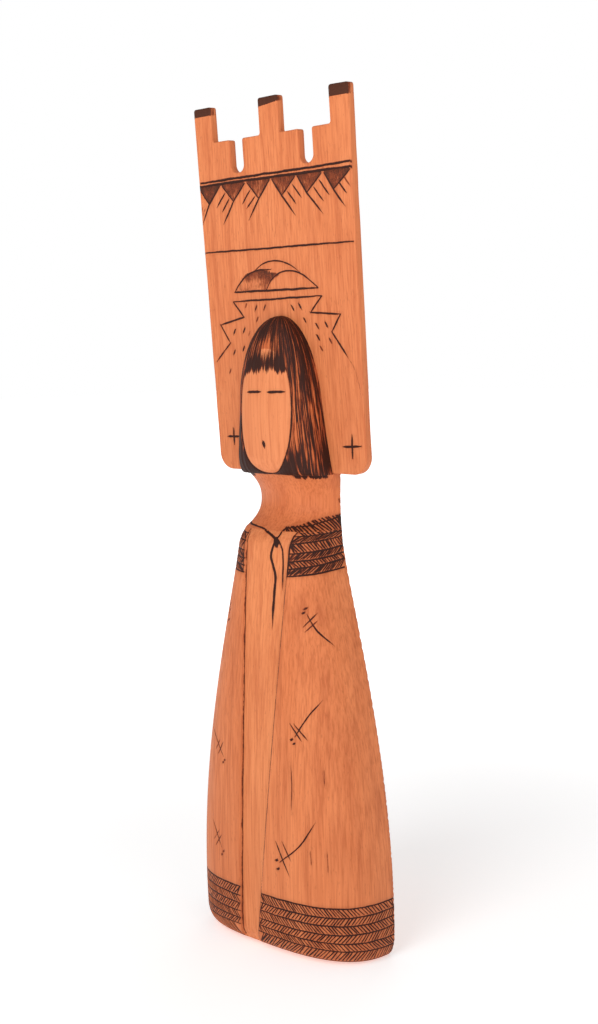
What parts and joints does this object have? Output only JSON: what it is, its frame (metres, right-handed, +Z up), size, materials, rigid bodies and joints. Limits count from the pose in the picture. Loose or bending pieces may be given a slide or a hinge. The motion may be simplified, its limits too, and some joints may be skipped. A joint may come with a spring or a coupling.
{
  "type": "carved maiden figure",
  "caption": "Slim carved wooden maiden figure with a flat back, an oval face, a flaring robe and a tall leaning headboard with a stepped crest.",
  "frame": {"origin": "under the middle of the figure, on the surface that it stands on", "axes": "+Z up towards the tips of the headboard, -Y the way the face looks, +Y out of the flat back, +X to the right as a viewer sees the front"},
  "size_m": [0.083, 0.0295, 0.309],
  "materials": {
    "carved_wood": "oiled, with burnt drawing",
    "burnt_wood": "densely burnt strokes",
    "board_wood": "oiled, with burnt drawing and burnt tips",
    "peg_wood": "plain end grain"
  },
  "bodies": {
    "root": {"dress_core": "carved_wood", "robe_left": "carved_wood", "robe_right": "carved_wood", "neck": "carved_wood", "hair": "burnt_wood", "face": "carved_wood", "tablita": "board_wood", "hair_pegs": "peg_wood", "tongue_pegs": "peg_wood", "robe_pegs": "peg_wood"}
  },
  "joints": []
}
